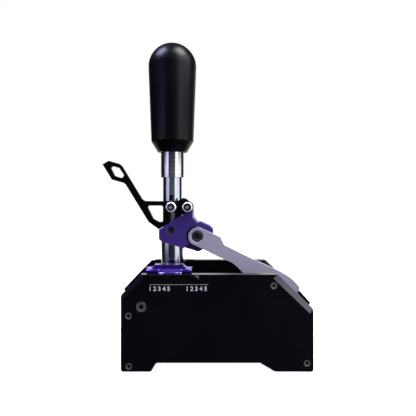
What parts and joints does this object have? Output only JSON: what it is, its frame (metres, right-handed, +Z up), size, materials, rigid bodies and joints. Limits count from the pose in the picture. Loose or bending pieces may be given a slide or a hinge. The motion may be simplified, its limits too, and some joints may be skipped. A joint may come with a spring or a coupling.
{
  "type": "racing gear shifter",
  "caption": "Lever gear shifter for driving games: tall knob, pull-up trigger plate, tilting carrier arm, gate block and mode slider on an open-topped bolt-down housing.",
  "frame": {"origin": "on the ground under the centre of the housing, at the centre of the rig bolt pattern", "axes": "+Z up along the lever, +X from the lever's end of the housing to the other, near side faces -Y"},
  "size_m": [0.1972, 0.1015, 0.3096],
  "materials": {
    "anodised_black": "black anodised, satin",
    "gate_violet": "violet anodised, polished",
    "bracket_purple": "deep purple anodised, satin",
    "blasted_grey": "bead blasted",
    "chrome_tube": "polished chrome",
    "collar_steel": "turned and polished",
    "knob_black": "satin",
    "dark_screw": "black oxide",
    "bright_steel": "bright zinc",
    "spring_steel": "oiled spring steel",
    "bearing_bronze": "sintered bronze",
    "track_plastic": "moulded, matt",
    "sensor_plastic": "moulded, matt",
    "board_green": "solder mask",
    "standoff_brass": "turned",
    "inlet_metal": "plated",
    "pointer_grey": "satin grey"
  },
  "bodies": {
    "housing": {"side_plate_near": "anodised_black", "side_plate_far": "anodised_black", "base_plate": "anodised_black", "front_panel": "anodised_black", "rear_panel": "anodised_black", "front_slope_cover": "anodised_black", "rear_slope_cover": "anodised_black", "front_bar": "anodised_black", "gate_portal": "anodised_black", "gate_block": "gate_violet", "gate_screws": "dark_screw", "front_bearing_block": "anodised_black", "rear_bearing_block": "anodised_black", "front_bearing": "bright_steel", "rear_bearing": "bright_steel", "roll_sensor": "sensor_plastic", "spring_post": "anodised_black", "detent_track": "track_plastic", "circuit_board": "board_green", "board_standoffs": "standoff_brass", "usb_inlet": "inlet_metal", "side_screws": "dark_screw", "bar_screws": "dark_screw", "base_screws": "dark_screw", "guide_screws": "dark_screw", "pitch_spring_front": "spring_steel", "pitch_spring_rear": "spring_steel", "roll_spring_near": "spring_steel", "roll_spring_far": "spring_steel"},
    "carrier": {"carrier_arm": "blasted_grey", "roll_axle": "bright_steel", "axle_clips": "bright_steel", "pivot_bolt": "dark_screw", "pivot_nut": "dark_screw"},
    "lever": {"bracket": "bracket_purple", "clamp_screw": "dark_screw", "sleeve": "chrome_tube", "rod": "chrome_tube", "collar": "collar_steel", "knob": "knob_black", "lever_foot": "bright_steel", "detent_roller": "bright_steel", "roller_pin": "bright_steel", "pivot_bushes": "bearing_bronze", "trigger_bolt": "bright_steel", "spring_stop": "bright_steel", "pull_spring": "spring_steel"},
    "trigger": {"trigger_plate": "anodised_black"},
    "pull": {"pull_rod": "bright_steel", "pull_bolt": "bright_steel"},
    "mode": {"mode_slider": "anodised_black", "mode_pointer": "pointer_grey", "pointer_screw": "dark_screw"}
  },
  "joints": [
    {"name": "roll_hinge", "type": "hinge", "parent": "housing", "child": "carrier", "pos_m": [0.049, 0, 0.04], "axis": [1, 0, 0], "range_deg": [-8, 8], "stiffness_Nm_per_rad": 25, "deforming": ["roll_spring_near", "roll_spring_far"]},
    {"name": "pitch_hinge", "type": "hinge", "parent": "carrier", "child": "lever", "pos_m": [-0.0192, 0, 0.1172], "axis": [0, 1, 0], "range_deg": [-8, 8], "stiffness_Nm_per_rad": 25, "deforming": ["pitch_spring_front", "pitch_spring_rear"]},
    {"name": "trigger_hinge", "type": "hinge", "parent": "lever", "child": "trigger", "pos_m": [-0.0286, 0, 0.1456], "axis": [0, 1, 0], "range_deg": [0, 28], "stiffness_Nm_per_rad": 0.1, "springref_deg": -17.76},
    {"name": "pull_slide", "type": "slide", "parent": "lever", "child": "pull", "axis": [0, 0, 1], "range_m": [0, 0.0083], "deforming": ["pull_spring"]},
    {"name": "mode_slide", "type": "slide", "parent": "housing", "child": "mode", "axis": [-1, 0, 0], "range_m": [0, 0.034]}
  ],
  "couplings": [
    {"joint": "pull_slide", "follows": "trigger_hinge", "m_per_rad": 0.01675}
  ]
}
